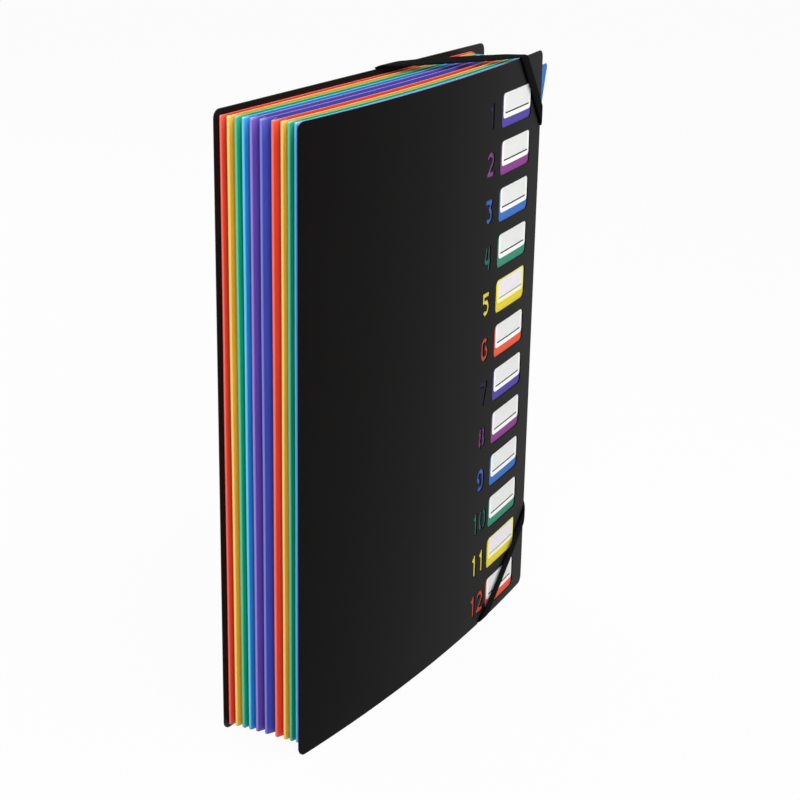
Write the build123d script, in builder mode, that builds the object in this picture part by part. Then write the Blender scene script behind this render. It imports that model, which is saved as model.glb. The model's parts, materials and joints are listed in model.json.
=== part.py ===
"""Expanding desk sorter: twelve coloured divider leaves on a pleated spine, between two black covers.

The front cover is bowed by two elastic corner bands. Windows along its fore edge show index tabs
with paper labels. The origin is the middle of the back cover's bottom edge: +X runs from the spine
to the fore edge, +Y points out of the back cover and +Z is up. Millimetres.
"""
import os
from math import cos, hypot, sin, sqrt, atan2

from build123d import *

# Covers
cover_width = 230.0
cover_height = 305.0
cover_wall = 0.6
cover_corner = 4.0
fore_depth = 36.0  # over both covers, at the fore edge
front_bow = 6.5  # how far the front cover stands out of its own chord

# Divider leaves: the gaps at the spine run from the front cover to the last leaf
pocket_gaps = [2.8, 1.5, 1.5, 3.35, 3.35, 4.7, 5.9, 5.1, 4.0, 3.75, 3.95, 3.8]
back_gap = 0.7
leaf_wall = 0.35
leaf_head = 2.8
leaf_foot = 1.8
leaf_lift = 1.4  # first leaf above the last one
leaf_spine = 3.0  # last leaf in from the spine edge
leaf_recess = 3.5  # first leaf further in than the last one
leaf_fore = 4.5
leaf_corner = 5.0

# Pleated spine
pleat_flank = 8.0
pleat_wall = 0.35
pleat_play = 0.08
flap_width = 16.0
flap_edge = 0.4  # flap in from the front cover's spine edge, where the cover hinges
flap_play = 0.2

# Index behind the front cover
window_count = 12
window_width = 38.0
window_height = 18.0
window_corner = 3.0
window_foot = 4.5  # lowest window above the cover's bottom edge
window_head = 14.5  # highest window below the cover's top edge
window_fore = 14.2  # windows in from the fore edge
label_width = 35.0
label_height = 12.9
label_wall = 0.12
label_corner = 2.0
label_side = 2.6  # colour left showing beside the label
label_rise = 4.6  # colour left showing below the label
tab_width = 72.0
tab_gap = 2.1  # between one tab and the next
tab_wall = 0.25
tab_corner = 2.5
sheet_wall = 0.25
sheet_margin = 2.5  # index sheet round the column of tabs
index_play = 0.04
ear_reach = 10.5  # pull ear past the cover's fore edge
ear_top = 8.5
ear_taper = 7.0
ear_clear = 0.8  # between the ear and the upper band below it
ear_corner = 2.0

# Elastic corner bands
band_width = 6.5
band_wall = 0.9
band_play = 0.3
upper_front = (28.0, 35.0)  # from the corner, along the level edge and down the fore edge
upper_back = (97.0, 34.0)
lower_front = (55.0, 43.0)
lower_back = (95.0, 100.0)
notch_play = 0.6  # room beside the band in the covers' foot notches

spare = 5.0  # sheet left over round an outline before it is cut away

# Derived places
half_width = cover_width / 2
spine_inside = sum(pocket_gaps) + back_gap
back_inner = -cover_wall / 2
back_outer = cover_wall / 2
front_spine = back_inner - spine_inside - cover_wall
front_fore = back_outer - fore_depth
bow_chord = hypot(cover_width, front_fore - front_spine)
bow_radius = bow_chord**2 / (8 * front_bow) + front_bow / 2
bow_lean = atan2(front_fore - front_spine, cover_width)
bow_x = -sin(bow_lean) * (bow_radius - front_bow)
bow_centre_y = (front_spine + front_fore) / 2 + cos(bow_lean) * (bow_radius - front_bow)
leaf_end = half_width - leaf_fore
leaf_height = cover_height - leaf_head - leaf_foot
window_x = half_width - window_fore - window_width / 2
window_pitch = (cover_height - window_head - window_foot - window_height) / (window_count - 1)
tab_height = window_pitch - tab_gap
tab_x = half_width - sheet_margin * 2 - tab_width / 2
index_start = tab_x - tab_width / 2 - sheet_margin
band_fore = band_width / 2 * hypot(*upper_front) / upper_front[0]
ear_foot = cover_height - upper_front[1] + band_fore + ear_clear
notch_height = band_wall + 2 * band_play
stations = (-half_width - spare, 0, half_width + ear_reach + spare)

os.makedirs("parts", exist_ok=True)


def front_y(x, inset=0.0):
    """Y of the front cover's curve at x, inset behind its outer face."""
    return bow_centre_y - sqrt((bow_radius - inset) ** 2 - (x - bow_x) ** 2)


def window_z(row):
    """Middle height of a window, row 0 at the top."""
    return window_foot + window_height / 2 + (window_count - 1 - row) * window_pitch


def leaf_y(leaf, x, side=0.0):
    """Y of a leaf at x, with leaf 0 next to the front cover; side moves it off its middle surface.

    Every leaf keeps its share of the depth between the covers, so the leaves bow less towards the back.
    """
    share = sum(pocket_gaps[: leaf + 1]) / spine_inside
    inner = front_y(x, cover_wall)
    return inner + share * (back_inner - inner) + side


def leaf_base(leaf):
    """Height of a leaf's bottom edge: each leaf stands a little lower than the one in front."""
    return leaf_foot + leaf_lift * (1 - leaf / (len(pocket_gaps) - 1))


def ridge_x(leaf):
    """X of a leaf's spine edge: each leaf lies a little further out than the one in front."""
    return leaf_spine - half_width + leaf_recess * (1 - leaf / (len(pocket_gaps) - 1))


def sheet_plan(front_face, back_face):
    """Plan of a bowed sheet, from three points on each face."""
    with BuildSketch() as plan:
        with BuildLine():
            near = ThreePointArc(*front_face)
            far = ThreePointArc(*back_face)
            Line(near @ 0, far @ 0)
            Line(near @ 1, far @ 1)
        make_face()
    return plan.sketch


def bowed_plan(inset, wall):
    """Plan of a sheet along the front cover's curve, with spare at both ends for an outline to cut away."""
    return sheet_plan(
        [(x, front_y(x, inset)) for x in stations], [(x, front_y(x, inset + wall)) for x in stations]
    )


def foot_notch(crossing):
    """Half length of a cover's foot notch, which the lower band crosses on a slant."""
    reach, rise = crossing
    slant = abs(lower_back[0] - lower_front[0]) / fore_depth
    across = band_width / 2 * hypot(reach, rise) / rise
    return across + slant * (cover_wall + band_play + band_wall) + notch_play


# Back cover: a flat sheet with rounded corners and a shallow foot notch for the lower band
with BuildPart() as back_cover:
    with BuildSketch(Plane.XZ.offset(-back_outer)) as outline:
        with Locations((0, cover_height / 2)):
            RectangleRounded(cover_width, cover_height, cover_corner)
        with Locations((half_width - lower_back[0], 0)):
            Rectangle(2 * foot_notch(lower_back), 2 * notch_height, mode=Mode.SUBTRACT)
    extrude(amount=cover_wall)
back_cover.part.label = "back_cover"
export_step(back_cover.part, "parts/back_cover.step")

# Front cover: a bowed sheet, trimmed to the same outline, with a column of label windows
with BuildPart() as front_cover:
    extrude(bowed_plan(0, cover_wall), amount=cover_height + spare, both=True)
    with BuildSketch(Plane.XZ) as outline:
        with Locations((0, cover_height / 2)):
            RectangleRounded(cover_width, cover_height, cover_corner)
        with Locations((half_width - lower_front[0], 0)):
            Rectangle(2 * foot_notch(lower_front), 2 * notch_height, mode=Mode.SUBTRACT)
        with Locations([(window_x, window_z(row)) for row in range(window_count)]):
            RectangleRounded(window_width, window_height, window_corner, mode=Mode.SUBTRACT)
    extrude(amount=2 * spine_inside, mode=Mode.INTERSECT)
front_cover.part.label = "front_cover"
export_step(front_cover.part, "parts/front_cover.step")

# Index sheet: a bowed backing behind the tabs, with a pull ear past the fore edge near the head
sheet_inset = cover_wall + tab_wall + 2 * index_play
with BuildPart() as index_sheet:
    extrude(bowed_plan(sheet_inset, sheet_wall), amount=cover_height + spare, both=True)
    with BuildSketch(Plane.XZ) as outline:
        with BuildLine():
            Polyline(
                (index_start, leaf_foot),
                (half_width - sheet_margin, leaf_foot),
                (half_width - sheet_margin, ear_foot),
                (half_width + ear_reach - ear_taper, ear_foot),
                (half_width + ear_reach, cover_height - ear_top),
                (index_start, cover_height - ear_top),
                close=True,
            )
        make_face()
        fillet(outline.vertices().group_by(Axis.X)[-1], ear_corner)
    extrude(amount=2 * spine_inside, mode=Mode.INTERSECT)
index_sheet.part.label = "index_sheet"
export_step(index_sheet.part, "parts/index_sheet.step")

# Index tabs: coloured cards on the sheet, one behind each window and its number
tab_inset = cover_wall + index_play
for row in range(window_count):
    with BuildPart() as index_tab:
        with BuildSketch(Plane.XZ) as outline:
            with Locations((tab_x, window_z(row))):
                RectangleRounded(tab_width, tab_height, tab_corner)
        extrude(amount=2 * spine_inside)
        extrude(bowed_plan(tab_inset, tab_wall), amount=cover_height, mode=Mode.INTERSECT)
    index_tab.part.label = f"index_tab_{row + 1:02d}"
    export_step(index_tab.part, f"parts/{index_tab.part.label}.step")

# Labels: white paper on each tab, inside the window, where the tab's colour shows below and beside it
label_x = window_x - window_width / 2 + label_side + label_width / 2
label_drop = label_rise + label_height / 2 - window_height / 2
for row in range(window_count):
    with BuildPart() as label:
        with BuildSketch(Plane.XZ) as outline:
            with Locations((label_x, window_z(row) + label_drop)):
                RectangleRounded(label_width, label_height, label_corner)
        extrude(amount=2 * spine_inside)
        extrude(bowed_plan(cover_wall - label_wall, label_wall), amount=cover_height, mode=Mode.INTERSECT)
    label.part.label = f"label_{row + 1:02d}"
    export_step(label.part, f"parts/{label.part.label}.step")

# Divider leaves: bowed sheets that fan out from the fore edge to the wider spine
for leaf in range(len(pocket_gaps)):
    faces = [[(x, leaf_y(leaf, x, side)) for x in stations] for side in (-leaf_wall / 2, leaf_wall / 2)]
    with BuildPart() as divider:
        extrude(sheet_plan(*faces), amount=cover_height)
        with BuildSketch(Plane.XZ) as outline:
            with Locations(((ridge_x(leaf) + leaf_end) / 2, leaf_base(leaf) + leaf_height / 2)):
                Rectangle(leaf_end - ridge_x(leaf), leaf_height)
            fillet(outline.vertices().group_by(Axis.X)[-1], leaf_corner)
        extrude(amount=2 * spine_inside, mode=Mode.INTERSECT)
    divider.part.label = f"leaf_{leaf + 1:02d}"
    export_step(divider.part, f"parts/{divider.part.label}.step")

# Spine flap: the first pleat's flange behind the front cover, which swings on its edge
flap_start = flap_edge - half_width
with BuildPart() as spine_flap:
    extrude(bowed_plan(cover_wall + flap_play, pleat_wall), amount=cover_height)
    with BuildSketch(Plane.XZ) as outline:
        with Locations((flap_start + flap_width / 2, leaf_base(0) + leaf_height / 2)):
            Rectangle(flap_width, leaf_height)
    extrude(amount=2 * spine_inside, mode=Mode.INTERSECT)
spine_flap.part.label = "spine_flap"
export_step(spine_flap.part, "parts/spine_flap.step")

# Spine pleats: one folded strip for each pocket, its fold pointing in between two sheets
flap_back = cover_wall + flap_play + pleat_wall + pleat_play
for leaf in range(len(pocket_gaps)):
    ridge = ridge_x(leaf)
    mouth = leaf_y(leaf, ridge) - (leaf_y(leaf - 1, ridge) if leaf else front_y(ridge, flap_back))
    rise = (mouth - leaf_wall) / 2
    fold_in = sqrt(pleat_flank**2 - rise**2)
    slant = pleat_wall * pleat_flank / rise
    bends = [(ridge, 0), (ridge + fold_in, 1), (ridge, 2), (ridge + slant, 2)]
    bends += [(ridge + fold_in + slant, 1), (ridge + slant, 0)]
    corners = []
    for x, flank in bends:
        before = leaf_y(leaf - 1, x, leaf_wall / 2 + pleat_play) if leaf else front_y(x, flap_back)
        behind = leaf_y(leaf, x, -leaf_wall / 2 - pleat_play)
        corners.append((x, before + (behind - before) * flank / 2))
    with BuildPart() as pleat:
        with BuildSketch(Plane.XY.offset(leaf_base(leaf))) as plan:
            with BuildLine():
                Polyline(*corners, close=True)
            make_face()
        extrude(amount=leaf_height)
    pleat.part.label = f"spine_pleat_{leaf + 1:02d}"
    export_step(pleat.part, f"parts/{pleat.part.label}.step")


def corner_band(front, back, level, inward, clear):
    """Flat elastic loop round one corner of both covers, as four strips joined at the edges.

    front and back give its distance from the corner along the level edge and along the fore edge.
    level is the height of the level edge, inward is the way from it to the cover's middle, and
    clear is how far the strip stands off that edge.
    """
    out_x = half_width + band_play
    edge_z = level - inward * clear
    crossings = []
    for reach, rise in (front, back):
        slope = hypot(reach, rise)
        crossings.append((reach, rise, band_width / 2 * slope / rise, band_width / 2 * slope / reach))
    faces = []
    for reach, rise, half_level, half_fore in crossings:
        faces.append([
            (half_width - reach - half_level, edge_z - inward * band_wall),
            (half_width - reach + half_level, edge_z - inward * band_wall),
            (out_x + band_wall, level + inward * (rise - half_fore)),
            (out_x + band_wall, level + inward * (rise + half_fore)),
        ])
    front_left, front_right = faces[0][0][0], faces[0][1][0]
    back_left, back_right = faces[1][0][0], faces[1][1][0]
    rear = back_outer + band_play
    with BuildPart() as band:
        extrude(bowed_plan(-band_play - band_wall, band_wall), amount=cover_height + spare, both=True)
        with BuildSketch(Plane.XZ) as outline:
            with BuildLine():
                Polyline(*faces[0], close=True)
            make_face()
        extrude(amount=2 * spine_inside, mode=Mode.INTERSECT)
        with BuildSketch(Plane.XZ.offset(-rear - band_wall)) as outline:
            with BuildLine():
                Polyline(*faces[1], close=True)
            make_face()
        extrude(amount=band_wall)
        with BuildSketch(Plane.XY.offset(min(edge_z, edge_z - inward * band_wall))) as outline:
            with BuildLine():
                Polyline(
                    (front_left, front_y(front_left, -band_play - band_wall / 2)),
                    (front_right, front_y(front_right, -band_play - band_wall / 2)),
                    (back_right, rear + band_wall / 2),
                    (back_left, rear + band_wall / 2),
                    close=True,
                )
            make_face()
        extrude(amount=band_wall)
        with BuildSketch(Plane.YZ.offset(out_x)) as outline:
            with BuildLine():
                Polyline(
                    (front_y(out_x, -band_play - band_wall / 2), faces[0][2][1]),
                    (front_y(out_x, -band_play - band_wall / 2), faces[0][3][1]),
                    (rear + band_wall / 2, faces[1][3][1]),
                    (rear + band_wall / 2, faces[1][2][1]),
                    close=True,
                )
            make_face()
        extrude(amount=band_wall)
    return band.part


# Elastic bands: the upper one stands over the head, the lower one lies in the foot notches
upper_band = corner_band(upper_front, upper_back, cover_height, -1, band_play)
upper_band.label = "upper_band"
export_step(upper_band, "parts/upper_band.step")
lower_band = corner_band(lower_front, lower_back, 0, 1, -band_play - band_wall)
lower_band.label = "lower_band"
export_step(lower_band, "parts/lower_band.step")
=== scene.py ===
import json
from math import asin, atan2, cos, hypot, pi, radians, sin

import bpy
import numpy as np
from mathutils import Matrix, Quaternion, Vector
from mathutils.geometry import delaunay_2d_cdt


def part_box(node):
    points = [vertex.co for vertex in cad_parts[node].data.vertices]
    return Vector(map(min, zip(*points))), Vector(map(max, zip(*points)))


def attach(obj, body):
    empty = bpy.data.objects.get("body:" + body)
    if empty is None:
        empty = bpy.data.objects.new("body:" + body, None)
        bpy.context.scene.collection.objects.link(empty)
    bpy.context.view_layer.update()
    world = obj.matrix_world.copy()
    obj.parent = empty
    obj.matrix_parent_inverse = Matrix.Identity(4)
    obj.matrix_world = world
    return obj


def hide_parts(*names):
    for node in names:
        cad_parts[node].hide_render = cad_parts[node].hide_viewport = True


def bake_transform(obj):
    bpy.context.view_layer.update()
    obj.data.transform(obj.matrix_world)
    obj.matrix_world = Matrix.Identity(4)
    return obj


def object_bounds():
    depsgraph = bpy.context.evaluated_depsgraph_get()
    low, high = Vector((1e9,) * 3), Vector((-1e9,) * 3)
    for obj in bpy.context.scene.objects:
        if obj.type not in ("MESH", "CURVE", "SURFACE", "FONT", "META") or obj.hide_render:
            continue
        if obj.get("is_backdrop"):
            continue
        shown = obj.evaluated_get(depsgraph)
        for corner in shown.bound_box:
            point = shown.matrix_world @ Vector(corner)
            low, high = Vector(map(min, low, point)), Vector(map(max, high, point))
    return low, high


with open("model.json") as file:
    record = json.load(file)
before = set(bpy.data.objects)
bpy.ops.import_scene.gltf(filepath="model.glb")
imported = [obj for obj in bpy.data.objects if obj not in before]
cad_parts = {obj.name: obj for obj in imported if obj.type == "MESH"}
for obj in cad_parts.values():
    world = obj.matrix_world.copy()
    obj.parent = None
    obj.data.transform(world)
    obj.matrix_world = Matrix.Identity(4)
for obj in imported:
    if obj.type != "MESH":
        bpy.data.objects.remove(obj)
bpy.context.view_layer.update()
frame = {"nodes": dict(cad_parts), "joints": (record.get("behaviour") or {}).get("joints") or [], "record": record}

# Back cover: a die-cut sheet of black polypropylene with a fine matt grain pressed into both faces.
# It stands on its bottom edge, and the last leaf moves with it. The solid has its outline, so only the
# finish is added.


def linear(hex_colour):
    """Linear RGBA of an sRGB hex colour: straight near black, a power of 2.4 above."""
    srgb = np.array([int(hex_colour[i : i + 2], 16) for i in (1, 3, 5)]) / 255
    rgb = np.where(srgb <= 0.04045, srgb / 12.92, ((srgb + 0.055) / 1.055) ** 2.4)
    return (*rgb.tolist(), 1.0)


def add(tree, kind, inputs=None, **settings):
    """Adds one node: settings are its own options, inputs are constants or links for its sockets."""
    node = tree.nodes.new(kind)
    for name, value in settings.items():
        setattr(node, name, value)
    for name, value in (inputs or {}).items():
        if isinstance(value, bpy.types.NodeSocket):
            tree.links.new(value, node.inputs[name])
        else:
            node.inputs[name].default_value = value
    return node


def finish(name, inputs):
    """A new material with these constants on its shader: returns it, its tree and its shader."""
    material = bpy.data.materials.new(name)
    material.use_nodes = True
    shader = material.node_tree.nodes["Principled BSDF"]
    for socket, value in inputs.items():
        shader.inputs[socket].default_value = value
    return material, material.node_tree, shader


def wear(node, material):
    """Gives a CAD node this finish instead of its plain one."""
    mesh = frame["nodes"][node].data
    mesh.materials.clear()
    mesh.materials.append(material)


grain_size = 0.0011
cover_grain_depth = 0.00004
haze_size = 0.06


# Black polypropylene, extruded and pressed with a grain: the eye gets a deep, slightly warm black with a
# soft sheen, a little greyer and duller in cloudy patches. The real grain is a few tenths of a millimetre
# wide, too fine to show, so it is drawn coarser.
def black_sheet(name, specular, dark, light):
    """Colour and roughness rise with a noise as wide as the haze; the bump is one as wide as the grain."""
    warm = linear("#fff0e6")
    material, tree, shader = finish(name, {"Specular IOR Level": specular, "Specular Tint": warm})
    place = add(tree, "ShaderNodeTexCoord").outputs["Object"]
    cloud = add(tree, "ShaderNodeTexNoise", {"Vector": place, "Scale": 1 / haze_size, "Detail": 3.0})
    haze = cloud.outputs["Fac"]
    # A colour mix takes its share at input 0 and its colours at inputs 6 and 7, and gives output 2.
    tone = add(tree, "ShaderNodeMix", {0: haze, 6: linear(dark), 7: linear(light)}, data_type="RGBA")
    tree.links.new(tone.outputs[2], shader.inputs["Base Color"])
    matt = add(tree, "ShaderNodeMapRange", {"Value": haze, "To Min": 0.34, "To Max": 0.42})
    tree.links.new(matt.outputs["Result"], shader.inputs["Roughness"])
    grain = add(tree, "ShaderNodeTexNoise", {"Vector": place, "Scale": 1 / grain_size, "Detail": 2.0})
    bump = add(
        tree,
        "ShaderNodeBump",
        {"Height": grain.outputs["Fac"], "Strength": 0.25, "Distance": cover_grain_depth},
    )
    tree.links.new(bump.outputs["Normal"], shader.inputs["Normal"])
    return material


# The back cover gets a lighter, glossier copy of the front's black: painted light, so it reads from behind.
wear("back_cover", black_sheet("black_polypropylene_back_painted_lighter", 0.1, "#0b0a09", "#141211"))

# Divider leaves: twelve sheets of tinted polypropylene in six colours, front to back, cut with rounded
# fore corners. Each is welded into the spine along one edge, and together they fan out and bow with the
# front cover. The cut edges are paler than the faces, partly whitened and partly a painted highlight.

cover_wall = 0.0006
cover_bow = 0.0065
leaf_wall = 0.00035
leaf_corner, last_corner = 0.018, 0.012
back_gap = 0.0007
cover_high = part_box("front_cover")[1]
half_width, cover_top = cover_high.x, cover_high.z
hinge = next(joint for joint in frame["joints"] if joint["name"] == "cover_open")
spine_y = hinge["pos_m"][1] - cover_wall
fore_y = cover_high.y - cover_wall
bow_radius = hypot(2 * half_width, fore_y - spine_y) ** 2 / (8 * cover_bow) + cover_bow / 2
bow_lean = atan2(fore_y - spine_y, 2 * half_width)
bow_x = -sin(bow_lean) * (bow_radius - cover_bow)
bow_y = (spine_y + fore_y) / 2 + cos(bow_lean) * (bow_radius - cover_bow)
back_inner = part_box("back_cover")[0].y
leaf_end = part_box("leaf_12")[1].x
rows = [f"{k:02d}" for k in range(1, 13)]
ratios = {link["joint"]: link["ratio"] for link in frame["record"]["behaviour"]["couplings"]}
leaf_shift = [ratios.get(f"leaf_{k}_slide", 0.0) for k in rows]
leaf_span = [(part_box(f"leaf_{k}")[0].z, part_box(f"leaf_{k}")[1].z) for k in rows]
ridge_x = [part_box(f"leaf_{k}")[0].x for k in rows]


def front_y(x, inset=0.0):
    """Front cover in plan: a circle through both its edges that bulges by the bow, moved in by inset."""
    return bow_y - np.sqrt((bow_radius - inset) ** 2 - (x - bow_x) ** 2)


inside = back_inner - front_y(-half_width, cover_wall)


def leaf_y(row, x):
    """Middle of a leaf in plan: its share of the way from the front cover's inner face to the back."""
    share = (inside - back_gap) * (1 - leaf_shift[row]) / inside
    inner = front_y(x, cover_wall)
    return inner + share * (back_inner - inner)


def grid(across, up, wrap=False):
    """Quads of a grid of points counted across first, joined end to end if it wraps."""
    near = np.arange(across if wrap else across - 1)
    far = (near + 1) % across
    start = np.arange(up - 1)[:, None] * across
    corners = [start + near, start + far, start + far + across, start + near + across]
    return np.stack(corners, -1).reshape(-1, 4)


sharp_bend = radians(40)


def closed_sheet(name, front, back, faces, material, **marks):
    """A sheet between two like surfaces: its front, its back turned over, and a wall round each open edge.

    The open edges are those that only one face has. Each mark is one value for every point of a surface.
    """
    count = len(front)
    sides = np.stack([faces, np.roll(faces, -1, axis=1)], -1).reshape(-1, 2)
    _, first, times = np.unique(np.sort(sides, 1), axis=0, return_index=True, return_counts=True)
    start, end = sides[first[times == 1]].T
    rim = np.stack([end, start, start + count, end + count], 1)
    mesh = bpy.data.meshes.new(name)
    mesh.from_pydata(
        np.concatenate([front, back]).tolist(),
        [],
        faces.tolist() + (faces[:, ::-1] + count).tolist() + rim.tolist(),
    )
    for mark, values in marks.items():
        kind, field = ("FLOAT_VECTOR", "vector") if np.ndim(values) == 2 else ("FLOAT", "value")
        layer = mesh.attributes.new(mark, kind, "POINT")
        layer.data.foreach_set(field, np.concatenate([values, values]).astype(np.float32).ravel())
    mesh.shade_smooth()
    mesh.set_sharp_from_angle(angle=sharp_bend)
    mesh.materials.append(material)
    sheet = bpy.data.objects.new(name, mesh)
    bpy.context.scene.collection.objects.link(sheet)
    return sheet


streak_width, streak_length = 0.002, 0.08
cloud_size = 0.03
cloud_shade = 0.8
leaf_grain_depth = 0.00003


# Tinted polypropylene, calendered and left glossier than the covers: the eye gets a strong, slightly
# cloudy colour, upright streaks in its gloss from the rollers, and pale lines where it is bent or cut,
# partly stress whitening and partly a painted highlight. Its grain is drawn as coarse as the covers',
# because the real one is too fine to show.
def tinted_sheet(name, body, pale):
    """Clouds darken the body, the crease mark (whitening and painted highlight) pales it; gloss follows streaks.
    """
    material, tree, shader = finish(name, {"Specular IOR Level": 0.45})
    place = add(tree, "ShaderNodeTexCoord").outputs["Object"]
    per_metre = (1 / streak_width, 1 / streak_width, 1 / streak_length)
    drawn = add(tree, "ShaderNodeMapping", {"Vector": place, "Scale": per_metre}).outputs[0]
    streak = add(tree, "ShaderNodeTexNoise", {"Vector": drawn, "Scale": 1.0, "Detail": 2.0}).outputs["Fac"]
    gloss = add(tree, "ShaderNodeMapRange", {"Value": streak, "To Min": 0.26, "To Max": 0.44})
    tree.links.new(gloss.outputs["Result"], shader.inputs["Roughness"])
    cloud = add(tree, "ShaderNodeTexNoise", {"Vector": place, "Scale": 1 / cloud_size, "Detail": 2.0})
    # The crease mark is partly whitening of the bent or cut sheet and partly a painted highlight.
    crease = add(tree, "ShaderNodeAttribute", attribute_name="crease").outputs["Fac"]
    deep = tuple(c * cloud_shade for c in linear(body)[:3]) + (1.0,)
    tone = add(
        tree, "ShaderNodeMix", {0: cloud.outputs["Fac"], 6: deep, 7: linear(body)}, data_type="RGBA"
    ).outputs[2]
    tone = add(tree, "ShaderNodeMix", {0: crease, 6: tone, 7: linear(pale)}, data_type="RGBA").outputs[2]
    tree.links.new(tone, shader.inputs["Base Color"])
    grain = add(tree, "ShaderNodeTexNoise", {"Vector": place, "Scale": 1 / grain_size, "Detail": 1.0})
    bump = add(
        tree,
        "ShaderNodeBump",
        {"Height": grain.outputs["Fac"], "Strength": 0.2, "Distance": leaf_grain_depth},
    )
    tree.links.new(bump.outputs["Normal"], shader.inputs["Normal"])
    return material


hues = ["indigo", "purple", "blue", "green", "yellow", "red"]
tints = [
    tinted_sheet("indigo_polypropylene", "#434db0", "#7f80d8"),
    tinted_sheet("purple_polypropylene", "#6048aa", "#9b86d6"),
    tinted_sheet("blue_polypropylene", "#2b82cc", "#6fd0f4"),
    tinted_sheet("green_polypropylene", "#10a27a", "#6cc596"),
    tinted_sheet("yellow_polypropylene", "#e0b03a", "#ffd27c"),
    tinted_sheet("red_polypropylene", "#e2452e", "#f4776c"),
]

# A leaf starts just inside the lap of the pleat that wraps it, and the pale of its cut edges, partly
# whitening and partly a painted highlight, fades over edge_share of its height. Its slight wave turns by
# one radian in wave_length and by wave_lag from leaf to leaf, and is still at the share wave_still of the
# height.
leaf_start = 0.0014
edge_share = 0.0013
wave_height, wave_length = 0.00013, 0.021
wave_lag, wave_still = 2.1, 0.3
leaf_columns, leaf_levels = 32, 12
bend = np.linspace(0, pi / 2, 13)[1:]
leaf_rise = np.concatenate([[0, edge_share], np.linspace(0.05, 0.95, leaf_levels), [1 - edge_share, 1]])
for row, k in enumerate(rows):
    leaf_foot, leaf_top = leaf_span[row]
    ridge = ridge_x[row]
    corner = last_corner if k == "12" else leaf_corner
    straight = np.linspace(ridge + leaf_start, leaf_end - corner, leaf_columns)
    leaf_x = np.concatenate([straight, leaf_end - corner * (1 - np.sin(bend))])
    leaf_cut = np.concatenate([0 * straight, corner * (1 - np.cos(bend))])
    x, rise = np.meshgrid(leaf_x, leaf_rise)
    cut = np.broadcast_to(leaf_cut, x.shape)
    z = leaf_foot + cut + rise * (leaf_top - leaf_foot - 2 * cut)
    wave = wave_height * np.sin(x / wave_length + wave_lag * row) * (rise - wave_still)
    y = leaf_y(row, x) + wave * (x - ridge) / (leaf_end - ridge)
    # Pale cut edges: partly whitening, partly a painted highlight where the edges catch light.
    edge = (rise == 0) | (rise == 1) | (x == leaf_x[-1])
    front, back = (np.stack([x, y + side * leaf_wall / 2, z], -1).reshape(-1, 3) for side in (-1, 1))
    leaf = closed_sheet(
        f"divider_{k}", front, back, grid(len(leaf_x), len(leaf_rise)), tints[row % 6], crease=edge.ravel()
    )
    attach(leaf, "back_cover" if k == "12" else f"leaf_{k}")
    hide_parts(f"leaf_{k}")

# Spine pleats: one folded strip of the same tinted sheet for each pocket. It is welded behind one leaf,
# folds in between two leaves and wraps the edge of the next, where the bend is pale: partly stretched
# white, partly a painted highlight. Small gaps are left at both leaves, so that nothing clashes when the
# folder is collapsed.

# All of these are lengths but for three: weld_slack is the share by which the first weld lags behind the
# flap, fold_softness the share of a flank that its fold rounds off, and sway_lag an angle.
pleat_wall = 0.00035
pleat_flank = 0.008
pleat_play, last_play = 0.00022, 0.00008
flap_gap = 0.0002
flange_room = 0.0005
pleat_lap = 0.0008
pleat_start = 0.0017
pleat_corner = 0.0009
fold_softness = 0.12
crease_width = 0.0007
end_highlight_width = 0.0016
end_stretch = 0.01
ridge_reach = 0.004
sway_height, sway_length, sway_lag = 0.00012, 0.031, 1.7
weld_off = leaf_wall / 2 + pleat_play + pleat_wall / 2
flap_inset = cover_wall + flap_gap + pleat_wall + pleat_play + pleat_wall / 2
ends = pleat_corner * (1 - np.cos(np.linspace(0, pi / 2, 7)))
nose_angle = np.linspace(-pi / 2, pi / 2, 13)


def run(start, end, count):
    """Points along a straight line, without its last one."""
    t = np.linspace(0, 1, count, endpoint=False)[:, None]
    return np.asarray(start) * (1 - t) + np.asarray(end) * t


def turn(start, corner, end, count):
    """Points round a corner on a quadratic curve from start to end, without its last one."""
    t = np.linspace(0, 1, count, endpoint=False)[:, None]
    start, corner, end = map(np.asarray, (start, corner, end))
    return start * (1 - t) ** 2 + corner * (2 * t * (1 - t)) + end * t**2


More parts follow.
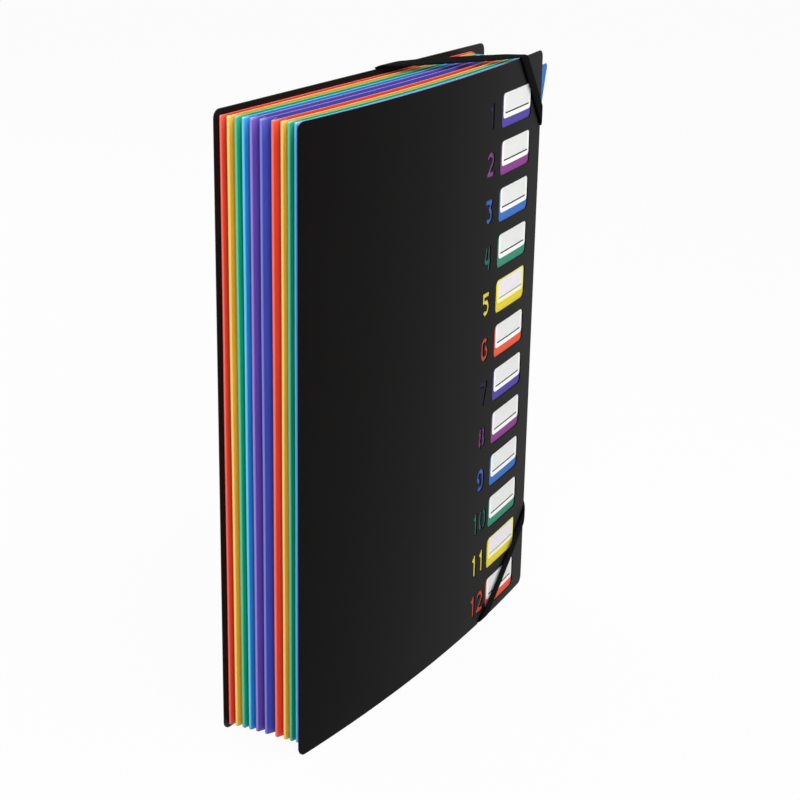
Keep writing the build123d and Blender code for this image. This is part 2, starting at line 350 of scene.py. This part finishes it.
for row, k in enumerate(rows):
    leaf_foot, leaf_top = leaf_span[row]
    ridge = ridge_x[row]
    last_row = k == "12"
    stand_off = leaf_wall / 2 + (last_play if last_row else pleat_play) + pleat_wall / 2
    nose_x = ridge + stand_off + pleat_wall / 2

    # In plan the strip runs from its weld into the fold, out again and round the next leaf's edge.
    before = leaf_y(row - 1, ridge) + weld_off if row else float(front_y(ridge, flap_inset))
    before += flange_room if last_row else 0
    behind = leaf_y(row, ridge) - stand_off
    start = (ridge + pleat_start, before)
    corner = (ridge + np.sqrt(pleat_flank**2 - ((behind - before) / 2) ** 2), (before + behind) / 2)
    last = (nose_x, behind)
    into = tuple(np.asarray(corner) * (1 - fold_softness) + np.asarray(start) * fold_softness)
    out = tuple(np.asarray(corner) * (1 - fold_softness) + np.asarray(last) * fold_softness)
    nose_y = behind + stand_off + stand_off * np.sin(nose_angle)
    nose = np.stack([nose_x - stand_off * np.cos(nose_angle), nose_y], -1)
    lap = np.array([[nose_x + pleat_lap / 2, nose[-1, 1]], [nose_x + pleat_lap, nose[-1, 1]]])
    line = np.concatenate([run(start, into, 7), turn(into, corner, out, 8), run(out, last, 9), nose, lap])
    line[:, 1] += leaf_y(row, line[:, 0]) - leaf_y(row, ridge)
    heading = np.gradient(line, axis=0)
    heading /= np.linalg.norm(heading, axis=1, keepdims=True)
    side = np.stack([heading[:, 1], -heading[:, 0]], -1) * pleat_wall / 2

    # Upwards its ends are rounded and its ridge sways a little.
    middle_z = np.linspace(leaf_foot + end_stretch, leaf_top - end_stretch, 16)
    pleat_z = np.concatenate([leaf_foot + ends, middle_z, leaf_top - ends[::-1]])
    end_near = np.clip(pleat_corner - np.minimum(pleat_z - leaf_foot, leaf_top - pleat_z), 0, None)
    end_round = pleat_corner - np.sqrt(pleat_corner**2 - end_near**2)
    near_ridge = np.clip(1 - (line[:, 0] - ridge) / ridge_reach, 0, 1)
    sway = sway_height * np.sin(pleat_z / sway_length + sway_lag * row)
    sway *= np.sin(pi * (pleat_z - leaf_foot) / (leaf_top - leaf_foot))
    shift = (end_round + sway)[:, None] * near_ridge
    surfaces = []
    for way in (1, -1):
        plan = line + way * side
        x = plan[:, 0] + shift
        y = np.broadcast_to(plan[:, 1], x.shape)
        z = np.broadcast_to(pleat_z[:, None], x.shape)
        surfaces.append(np.stack([x, y, z], -1).reshape(-1, 3))
    # The pale at the fold and at the top end is partly whitening and partly a painted highlight.
    at_fold = np.clip(1 - (line[:, 0] - ridge) / crease_width, 0, 1)
    at_end = np.clip(1 - (leaf_top - pleat_z) / end_highlight_width, 0, 1)[:, None] * near_ridge
    crease = np.maximum(at_fold, at_end)
    pleat = closed_sheet(
        f"pleat_{k}", *surfaces, grid(len(line), len(pleat_z)), tints[row % 6], crease=crease.ravel()
    )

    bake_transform(pleat)
    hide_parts(f"spine_pleat_{k}")

# Spine flap: the flange of the first pleat, of the same tinted sheet, welded to the inside of the front
# cover along its spine edge. The cover swings on the fold beside it.
wear("spine_flap", tints[0])

# Front cover: a sheet like the back cover, with die-cut windows along the fore edge and a stencilled
# number beside each. The bands pull its fore corners back, which bows it.

cover_corner = 0.004
window_corner = 0.003
window_low, window_high = 0.0628, 0.1008
window_tall = 0.018
window_foot, window_head = 0.0045, 0.0145
notch_rise = 0.0015
notch_middle, notch_half = 0.060, 0.0060
notch_overcut = 0.001
outline_step = 0.004
cover_spacing = (0.005, 0.012)
window_z = np.linspace(cover_top - window_head - window_tall / 2, window_foot + window_tall / 2, 12)


def rounded(low, high, corner):
    """A rounded rectangle's loop, anticlockwise: one quarter arc, turned and moved to each corner."""
    angle = np.linspace(0, pi / 2, 7)
    quarter = np.stack([np.cos(angle), np.sin(angle)], -1) * corner
    spin = np.array([[0, 1], [-1, 0]])
    middle, reach = (np.add(low, high) / 2, np.subtract(high, low) / 2 - corner)
    arcs = []
    for turns, place in enumerate([(1, 1), (-1, 1), (-1, -1), (1, -1)]):
        arcs.append(middle + reach * place + quarter @ np.linalg.matrix_power(spin, turns))
    return np.concatenate(arcs)


def fine(loop, step):
    """The same loop with extra points along its long sides, no further apart than step."""
    ring = np.concatenate([loop, loop[:1]])
    far = np.concatenate([[0], np.cumsum(np.linalg.norm(np.diff(ring, axis=0), axis=1))])
    where = np.union1d(far, np.arange(0, far[-1], step))[:-1]
    return np.stack([np.interp(where, far, ring[:, 0]), np.interp(where, far, ring[:, 1])], -1)


merge_distance = 1e-7


def die_cut(outline, holes, spacing):
    """Triangles of a flat sheet with holes, which may overlap.

    The outline, the holes and a grid of inner points are joined into triangles as even as they can be, and
    those that lie in the outline alone are kept.
    """
    low, high = outline.min(0), outline.max(0)
    lines = [np.arange(start + step / 2, end, step) for start, end, step in zip(low, high, spacing)]
    inner = np.stack(np.meshgrid(*lines), -1).reshape(-1, 2)
    loops = [outline, *holes]
    starts = np.cumsum([0] + [len(loop) for loop in loops])
    faces = [list(range(start, end)) for start, end in zip(starts[:-1], starts[1:])]
    points = [Vector(point) for point in np.concatenate([*loops, inner]).tolist()]
    points, _, triangles, _, _, sources = delaunay_2d_cdt(points, [], faces, 1, merge_distance)
    kept = np.array([triangle for triangle, source in zip(triangles, sources) if source == [0]])
    used, kept = np.unique(kept, return_inverse=True)
    return np.array(points)[used], kept.reshape(-1, 3)


def stroke(path, width):
    """The loop of a stroke: its path moved half a width to each side, with mitred bends and square ends."""
    path = np.asarray(path)
    leg = np.diff(path, axis=0)
    leg /= np.linalg.norm(leg, axis=1, keepdims=True)
    side = np.stack([-leg[:, 1], leg[:, 0]], -1)
    mitre = np.concatenate([side[:1], side[:-1] + side[1:], side[-1:]])
    mitre[1:-1] /= 1 + np.sum(side[:-1] * side[1:], axis=1, keepdims=True)
    return np.concatenate([path - mitre * width / 2, (path + mitre * width / 2)[::-1]])


def arc(x, z, wide, tall, start, end):
    """Points of an elliptic arc about x, z between two angles in degrees."""
    angle = np.radians(np.linspace(start, end, 13))
    return np.stack([x + wide * np.cos(angle), z + tall * np.sin(angle)], -1)


# The stencil's strokes are paths about a digit's middle, in metres. They reach half_wide and half_tall from
# there, and the gaps between them are the bridges that hold the inner pieces.
stroke_width = 0.0026
square_end = stroke_width / 2
short_end = stroke_width / 3
half_wide, half_tall = 0.0029, 0.0051
bowl_z = half_tall - half_wide


def bowl(way, start, end):
    """A round end of a digit, the upper one for 1 and the lower one for -1, between two angles."""
    return arc(0, way * bowl_z, half_wide, half_wide, start, end)


digits = {
    "0": [
        np.concatenate([bowl(1, 106, 180), bowl(-1, 180, 254)]),
        np.concatenate([bowl(-1, -74, 0), bowl(1, 0, 74)]),
    ],
    "1": [
        [(0.0006, half_tall + square_end), (0.0006, -half_tall - square_end)],
        [(-0.0019, 0.0030), (0.0008, 0.0050)],
    ],
    "2": [
        np.concatenate([bowl(1, 168, -28), [(-half_wide, -half_tall)]]),
        [(-half_wide - square_end, -half_tall), (half_wide + square_end, -half_tall)],
    ],
    "3": [
        [(-half_wide - square_end, half_tall), (half_wide + short_end, half_tall)],
        [(half_wide, half_tall), (-0.0003, 0.0010)],
        arc(-0.0001, -0.0019, 0.0025, 0.00305, 96, -152),
    ],
    "4": [
        [(0.0016, half_tall + square_end), (0.0016, -half_tall - square_end)],
        [(-0.0010, half_tall + square_end), (-0.0028, -0.0019)],
        [(-0.0034, -0.0019), (0.0034, -0.0019)],
    ],
    "5": [
        [(-half_wide - square_end, half_tall), (half_wide + short_end, half_tall)],
        [(-half_wide, half_tall), (-half_wide, 0.0004)],
        arc(-0.0001, -0.0018, 0.0025, 0.00315, 128, -152),
    ],
    "6": [
        np.concatenate([bowl(1, 32, 180), bowl(-1, 180, 275)]),
        arc(0, -0.0020, half_wide, 0.00295, -92, 92),
    ],
    "7": [
        [(-half_wide - square_end, half_tall), (half_wide + square_end, half_tall)],
        [(half_wide, half_tall), (-0.0008, -half_tall - square_end)],
    ],
    "8": [
        arc(0, 0.0026, 0.0021, 0.00235, 106, 254),
        arc(0, 0.0026, 0.0021, 0.00235, -74, 74),
        arc(0, -0.0023, 0.0025, 0.00265, 106, 254),
        arc(0, -0.0023, 0.0025, 0.00265, -74, 74),
    ],
}
digits["9"] = [-np.asarray(path) for path in digits["6"]]
number_gap = 0.0113
number_drop = 0.0006
digit_step = 0.0086
holes = []
for row, z in enumerate(window_z):
    low, high = (window_low, z - window_tall / 2), (window_high, z + window_tall / 2)
    holes.append(fine(rounded(low, high, window_corner), outline_step))
    number = str(row + 1)
    for place, digit in enumerate(reversed(number)):
        digit_x = window_low - number_gap + digit_step * ((len(number) - 1) / 2 - place)
        holes += [stroke(path, stroke_width) + (digit_x, z - number_drop) for path in digits[digit]]
notch_low, notch_high = notch_middle - notch_half, notch_middle + notch_half
notch_foot = [(notch_low, -notch_overcut), (notch_high, -notch_overcut)]
notch = np.array(notch_foot + [(notch_high, notch_rise), (notch_low, notch_rise)])
outline = fine(rounded((-half_width, 0), (half_width, cover_top), cover_corner), outline_step)
flat, triangles = die_cut(outline, [*holes, notch], cover_spacing)
front, back = (
    np.stack([flat[:, 0], front_y(flat[:, 0], inset), flat[:, 1]], -1) for inset in (0, cover_wall)
)
front_black = black_sheet("black_polypropylene_front", 0.03, "#050404", "#090808")
cover = closed_sheet("front_cover_sheet", front, back, triangles, front_black)
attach(cover, "front_cover")
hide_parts("front_cover")

# Index: a blue sheet behind the windows with a pull ear at the head, and a coloured card on it for each
# number. They are printed board, duller than the leaves. The solids have their outlines, so only the
# finish is added.

fibre_size = 0.0014
fibre_depth = 0.00002
number_margin = 0.003
number_shade_end = window_low - number_margin


# Coated board, printed in flat colours: the eye gets a plain dull colour with a faint mottle, and a
# deeper one, painted shade, where the card shows through the stencilled number. Its fibres are too fine
# to show, so the mottle is coarser.
def index_board(name, colour, number_shade_and_light):
    """Painted shade's colour left of the numbers' end, the board's own right of it, times a fibre-wide noise."""
    material, tree, shader = finish(name, {"Roughness": 0.6, "Specular IOR Level": 0.05})
    place = add(tree, "ShaderNodeTexCoord").outputs["Object"]
    mottle = add(tree, "ShaderNodeTexNoise", {"Vector": place, "Scale": 1 / fibre_size, "Detail": 3.0})
    fibre = mottle.outputs["Fac"]
    across = add(tree, "ShaderNodeSeparateXYZ", {0: place}).outputs["X"]
    # Left of the numbers' end the card gets its colour of painted shade.
    in_number_shade = add(tree, "ShaderNodeMath", {0: across, 1: number_shade_end}, operation="LESS_THAN").outputs[0]
    tone = add(
        tree, "ShaderNodeMix", {0: in_number_shade, 6: linear(colour), 7: linear(number_shade_and_light)}, data_type="RGBA"
    ).outputs[2]
    shade = add(tree, "ShaderNodeMapRange", {"Value": fibre, "To Min": 0.88, "To Max": 1.0})
    tone = add(
        tree,
        "ShaderNodeMix",
        {0: 1.0, 6: tone, 7: shade.outputs["Result"]},
        data_type="RGBA",
        blend_type="MULTIPLY",
    ).outputs[2]
    tree.links.new(tone, shader.inputs["Base Color"])
    bump = add(tree, "ShaderNodeBump", {"Height": fibre, "Strength": 0.15, "Distance": fibre_depth})
    tree.links.new(bump.outputs["Normal"], shader.inputs["Normal"])
    return material


# Each board's second colour is painted light and shade where it shows through the stencilled numbers: mostly
# darker, lighter for yellow.
boards = [
    index_board("indigo_index_board", "#574aa0", "#302c44"),
    index_board("purple_index_board", "#8c468e", "#824a86"),
    index_board("blue_index_board", "#4273c0", "#4a68b8"),
    index_board("teal_index_board", "#3f8c74", "#3a665f"),
    index_board("yellow_index_board", "#e6d23c", "#e8df52"),
    index_board("red_index_board", "#ea6048", "#c0503f"),
]
wear("index_sheet", index_board("blue_index_sheet", "#4273c0", "#4273c0"))
for row, k in enumerate(rows):
    wear(f"index_tab_{k}", boards[row % 6])

# Labels: white paper slips stuck on the cards, each printed with a pale writing field over a dark rule.
# They lie within the cover's thickness, in the windows, and bow with it.

label_wall = 0.00012
label_inset = cover_wall - label_wall
label_size = np.array((0.035, 0.0129))
label_corner = 0.002
label_step = 0.003
label_spacing = (0.006, 0.007)
field_margin = (0.0022, 0.0009)
field_corner = 0.0012
field_reach = label_size / 2 - field_margin
rule_z, rule_half = -0.0037, 0.0004


# Label paper, uncoated and printed flat: the eye gets a dull white border, a slightly greyer field with
# rounded corners and one crisp line across it.
def label_paper(name, border_colour, field_colour, foot_colour, rule_colour):
    """The field is all within a corner's radius of an inner rectangle; the rule crosses it low down."""
    material, tree, shader = finish(name, {"Roughness": 0.62, "Specular IOR Level": 0.05})
    spot = add(tree, "ShaderNodeAttribute", attribute_name="spot").outputs["Vector"]
    away = add(tree, "ShaderNodeVectorMath", {0: spot}, operation="ABSOLUTE").outputs[0]
    reach = (field_reach[0] - field_corner, 1.0, field_reach[1] - field_corner)
    over = add(tree, "ShaderNodeVectorMath", {0: away, 1: reach}, operation="SUBTRACT").outputs[0]
    over = add(tree, "ShaderNodeVectorMath", {0: over, 1: (0, 0, 0)}, operation="MAXIMUM").outputs[0]
    far = add(tree, "ShaderNodeVectorMath", {0: over}, operation="LENGTH").outputs["Value"]
    in_field = add(tree, "ShaderNodeMath", {0: far, 1: field_corner}, operation="LESS_THAN").outputs[0]
    height = add(tree, "ShaderNodeSeparateXYZ", {0: spot}).outputs["Z"]
    above = add(tree, "ShaderNodeMath", {0: height, 1: rule_z}, operation="GREATER_THAN").outputs[0]
    part = add(
        tree, "ShaderNodeMix", {0: above, 6: linear(foot_colour), 7: linear(field_colour)}, data_type="RGBA"
    ).outputs[2]
    tone = add(
        tree, "ShaderNodeMix", {0: in_field, 6: linear(border_colour), 7: part}, data_type="RGBA"
    ).outputs[2]
    near = add(tree, "ShaderNodeMath", {0: height, 1: rule_z, 2: rule_half}, operation="COMPARE").outputs[0]
    ruled = add(tree, "ShaderNodeMath", {0: near, 1: in_field}, operation="MULTIPLY").outputs[0]
    tone = add(
        tree, "ShaderNodeMix", {0: ruled, 6: tone, 7: linear(rule_colour)}, data_type="RGBA"
    ).outputs[2]
    tree.links.new(tone, shader.inputs["Base Color"])
    return material


dark_label = label_paper("label_paper_dark_rule", "#f3f3f1", "#e2e3e1", "#f3f3f1", "#2c2c30")
yellow_label = label_paper("label_paper_yellow_border", "#f1ea86", "#e6e2e8", "#efeee6", "#a9a768")
slip = fine(rounded(-label_size / 2, label_size / 2, label_corner), label_step)
spot, triangles = die_cut(slip, [], label_spacing)
for row, k in enumerate(rows):
    low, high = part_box(f"label_{k}")
    middle = np.array(((low.x + high.x) / 2, (low.z + high.z) / 2))
    x, z = (spot + middle).T
    front, back = (np.stack([x, front_y(x, label_inset + depth), z], -1) for depth in (0, label_wall))
    label = closed_sheet(
        f"label_slip_{k}",
        front,
        back,
        triangles,
        yellow_label if hues[row % 6] == "yellow" else dark_label,
        spot=np.stack([spot[:, 0], 0 * spot[:, 0], spot[:, 1]], -1),
    )
    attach(label, "front_cover")
    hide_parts(f"label_{k}")

# Elastic bands: flat braided black elastic, one loop round each fore corner of both covers. The upper
# loop stands clear of the head; the lower one runs through the notches in the covers' feet.

band_width = 0.0065
band_wall = 0.0009
band_gap = 0.0003
band_off = band_gap + band_wall / 2
band_turn = 0.0016
leg_points, turn_points = 25, 9
rib_width, pick_width = 0.0010, 0.0012
braid_depth = 0.00012
back_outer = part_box("back_cover")[1].y

# Shares of the half width across the band; its thickness falls to half at both edges.
band_across = np.linspace(-1, 1, 11)
band_edge = np.sqrt(1 - 0.75 * band_across**8)

# Braided elastic, black yarn over rubber: the eye gets a soft matt black with a small even chequer, its
# lighter squares on the raised threads a painted sheen. The real ribs and picks are about half as wide,
# too fine to show, so they are drawn coarser.
elastic, tree, shader = finish("black_braided_elastic", {"Roughness": 0.85, "Specular IOR Level": 0.02})
along = add(tree, "ShaderNodeAttribute", attribute_name="along").outputs["Fac"]
across = add(tree, "ShaderNodeAttribute", attribute_name="across").outputs["Fac"]
rib = add(tree, "ShaderNodeMath", {0: across, 1: 2 * pi / rib_width}, operation="MULTIPLY").outputs[0]
rib = add(tree, "ShaderNodeMath", {0: rib}, operation="SINE").outputs[0]
pick = add(tree, "ShaderNodeMath", {0: along, 1: 2 * pi / pick_width}, operation="MULTIPLY").outputs[0]
pick = add(tree, "ShaderNodeMath", {0: pick}, operation="SINE").outputs[0]
braid = add(tree, "ShaderNodeMath", {0: rib, 1: pick}, operation="MULTIPLY").outputs[0]
# Lighter where the braid stands up: painted sheen on the raised threads.
lit = add(tree, "ShaderNodeMapRange", {"Value": braid, "From Min": -1.0}).outputs["Result"]
tone = add(tree, "ShaderNodeMix", {0: lit, 6: linear("#050505"), 7: linear("#121213")}, data_type="RGBA")
tree.links.new(tone.outputs[2], shader.inputs["Base Color"])
bump = add(tree, "ShaderNodeBump", {"Height": braid, "Strength": 0.6, "Distance": braid_depth})
tree.links.new(bump.outputs["Normal"], shader.inputs["Normal"])

# A band's course: how far from the corner it crosses the head or foot and the fore edge, on each cover;
# the height of that head or foot, the way in from it and the height of the run over it; the twist and the
# lift of that run; how far the band bulges past the fore edge; and the sizes of its four turns.
bands = {
    "upper_band": {
        "on_front": (0.028, 0.035),
        "on_back": (0.097, 0.034),
        "level": cover_top,
        "inward": -1,
        "edge_z": cover_top + band_off,
        "twist": 0.0007,
        "lift": 0.0007,
        "bulge": 0.0,
        "turns": (band_turn, band_turn, 0.008, band_turn),
    },
    "lower_band": {
        "on_front": (0.055, 0.043),
        "on_back": (0.095, 0.100),
        "level": 0.0,
        "inward": 1,
        "edge_z": band_off,
        "twist": 0.0,
        "lift": 0.0,
        "bulge": 0.0012,
        "turns": (0.005, band_turn, band_turn, band_turn),
    },
}
for name, course in bands.items():
    turns = course["turns"]

    # On each cover the threads of the band lie side by side, so the points where they cross its edges
    # shift along those edges. The front cover is bowed and has no flat_y.
    corners = []
    for (reach, rise), flat_y, lift, bulge in (
        (course["on_front"], None, 0.0, course["bulge"]),
        (course["on_back"], back_outer + band_off, course["lift"], 0.0),
    ):
        slant = hypot(reach, rise) * band_width / 2
        x = half_width - reach + band_across * slant / rise
        z = course["level"] + course["inward"] * (rise - band_across * slant / reach)
        out = np.full_like(x, half_width + band_off + bulge)
        level_y = front_y(x, -band_off) if flat_y is None else flat_y
        fore_edge_y = front_y(out, -band_off) if flat_y is None else flat_y
        corners.append(np.stack(np.broadcast_arrays(x, level_y + lift / 2, course["edge_z"] + lift), -1))
        corners.append(np.stack(np.broadcast_arrays(out, fore_edge_y, z), -1))

    # Four legs with a quadratic turn after each: along the bowed front cover, over its head or foot with
    # the twist, along the back cover and round the fore edge.
    loop = [corners[1], corners[0], corners[2], corners[3]]
    legs = [end - start for start, end in zip(loop, loop[1:] + loop[:1])]
    legs = [leg / np.linalg.norm(leg, axis=-1, keepdims=True) for leg in legs]
    path = []
    for side in range(4):
        following = (side + 1) % 4
        start = loop[side] + legs[side] * turns[side]
        end = loop[following] - legs[side] * turns[following]
        straight = np.linspace(start, end, leg_points)
        if side == 0:
            straight[..., 1] = front_y(straight[..., 0], -band_off)
        elif side == 1:
            turned = np.clip(2 * np.sin(np.linspace(0, pi, leg_points)), 0, 1)[:, None]
            straight[..., 2] += course["twist"] * band_across * turned
        path.append(straight[:-1])
        t = np.linspace(0, 1, turn_points)[:-1, None, None]
        past = loop[following] + legs[following] * turns[following]
        path.append(straight[-1] * (1 - t) ** 2 + loop[following] * (2 * t * (1 - t)) + past * t**2)
    path = np.concatenate(path)

    # Half the wall stands out on each side, square to the path along and across the band.
    ahead = np.roll(path, -1, axis=0) - np.roll(path, 1, axis=0)
    aside = np.gradient(path, axis=1)
    up = np.cross(ahead, aside)
    up *= (band_wall / 2 * band_edge[:, None]) / np.linalg.norm(up, axis=-1, keepdims=True)
    outer, inner = ((path + way * up).transpose(1, 0, 2).reshape(-1, 3) for way in (1, -1))
    thread = path[:, len(band_across) // 2]
    run_length = np.cumsum(np.linalg.norm(np.diff(thread, axis=0, prepend=thread[:1]), axis=-1))
    count = len(path)
    band = closed_sheet(
        f"elastic_{name}",
        outer,
        inner,
        grid(count, len(band_across), wrap=True),
        elastic,
        along=np.tile(run_length, len(band_across)),
        across=np.repeat(band_across * band_width / 2, count),
    )
    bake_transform(band)
    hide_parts(name)

# Floor: a sweep of plain white studio paper that the folder stands on, wide enough to fill the view.
# It shows white to the camera and keeps a faint shadow.

floor_half = 20.0
floor_corners = np.array([(-1, -1, 0), (1, -1, 0), (1, 1, 0), (-1, 1, 0)]) * floor_half
mesh = bpy.data.meshes.new("studio_floor")
mesh.from_pydata(floor_corners.tolist(), [], [(0, 1, 2, 3)])
floor = bpy.data.objects.new("studio_floor", mesh)
bpy.context.scene.collection.objects.link(floor)
floor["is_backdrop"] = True


def seen(tree, share):
    """How far a surface shows as plain white: share for camera, glossy and transmission rays, or else 0."""
    ray = add(tree, "ShaderNodeLightPath").outputs
    shown = ray["Is Camera Ray"]
    for kind in ("Is Glossy Ray", "Is Transmission Ray"):
        shown = add(tree, "ShaderNodeMath", {0: shown, 1: ray[kind]}, operation="MAXIMUM").outputs[0]
    return add(tree, "ShaderNodeMath", {0: shown, 1: share}, operation="MULTIPLY").outputs[0]


# Studio paper, matt and even: the eye gets plain white, with a twentieth of its shading left for the
# shadow.
white_share = 0.95
paper, tree, shader = finish("white_studio_paper", {"Base Color": linear("#c4c4c4"), "Roughness": 0.9})
white = add(tree, "ShaderNodeEmission", {"Strength": 1.0}).outputs[0]
both = add(tree, "ShaderNodeMixShader", {0: seen(tree, white_share), 1: shader.outputs[0], 2: white})
tree.links.new(both.outputs[0], tree.nodes["Material Output"].inputs["Surface"])
mesh.materials.append(paper)

# Light: a white studio with four large soft lamps. The key stands to the front left, for the spine, a
# weaker fill to the front right, one overhead, and one behind for the back cover. The world shows white
# to the camera and lights the folder with about half of that.

world = bpy.data.worlds.new("white_studio")
world.use_nodes = True
tree = world.node_tree
sky = tree.nodes["Background"]
dim = 0.52
strength = add(tree, "ShaderNodeMath", {0: seen(tree, 1 - dim), 1: dim}, operation="ADD").outputs[0]
sky.inputs["Color"].default_value = (1, 1, 1, 1)
tree.links.new(strength, sky.inputs["Strength"])
bpy.context.scene.world = world
lamps = {
    "key_softbox": ((-0.9, -0.7, 1.0), 0.9, 12.5),
    "fill_softbox": ((0.75, -1.0, 0.9), 0.8, 3.0),
    "top_softbox": ((-0.15, -0.4, 1.15), 0.7, 6.0),
    "back_softbox": ((0.45, 1.2, 0.9), 0.9, 6.0),
}
aim = Vector((0, -0.02, 0.15))
for name, (place, size, power) in lamps.items():
    lamp = bpy.data.lights.new(name, "AREA")
    lamp.size = size
    lamp.energy = power
    rig = bpy.data.objects.new(name, lamp)
    rig.location = place
    rig.rotation_euler = (aim - rig.location).to_track_quat("-Z", "Y").to_euler()
    bpy.context.scene.collection.objects.link(rig)

# Camera: fitted to the photograph's corners and edges, looking down on the spine from the front left.
# It is a little rolled, as the photograph is.

azimuth, elevation, roll = radians(-57.37), radians(20.03), 0.018
distance = 0.9435
camera_aim = Vector((0.00284, -0.023, 0.1414))
lens = bpy.data.cameras.new("photo_camera")
lens.sensor_width = 36.0
lens.lens = 83.9
camera = bpy.data.objects.new("photo_camera", lens)
away = Vector((sin(azimuth) * cos(elevation), -cos(azimuth) * cos(elevation), sin(elevation)))
camera.location = camera_aim + away * distance
turned = (-away).to_track_quat("-Z", "Y") @ Quaternion((0, 0, 1), roll)
camera.rotation_euler = turned.to_euler()
bpy.context.scene.collection.objects.link(camera)
bpy.context.scene.camera = camera
bpy.context.scene.view_settings.view_transform = "Standard"

low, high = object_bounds()
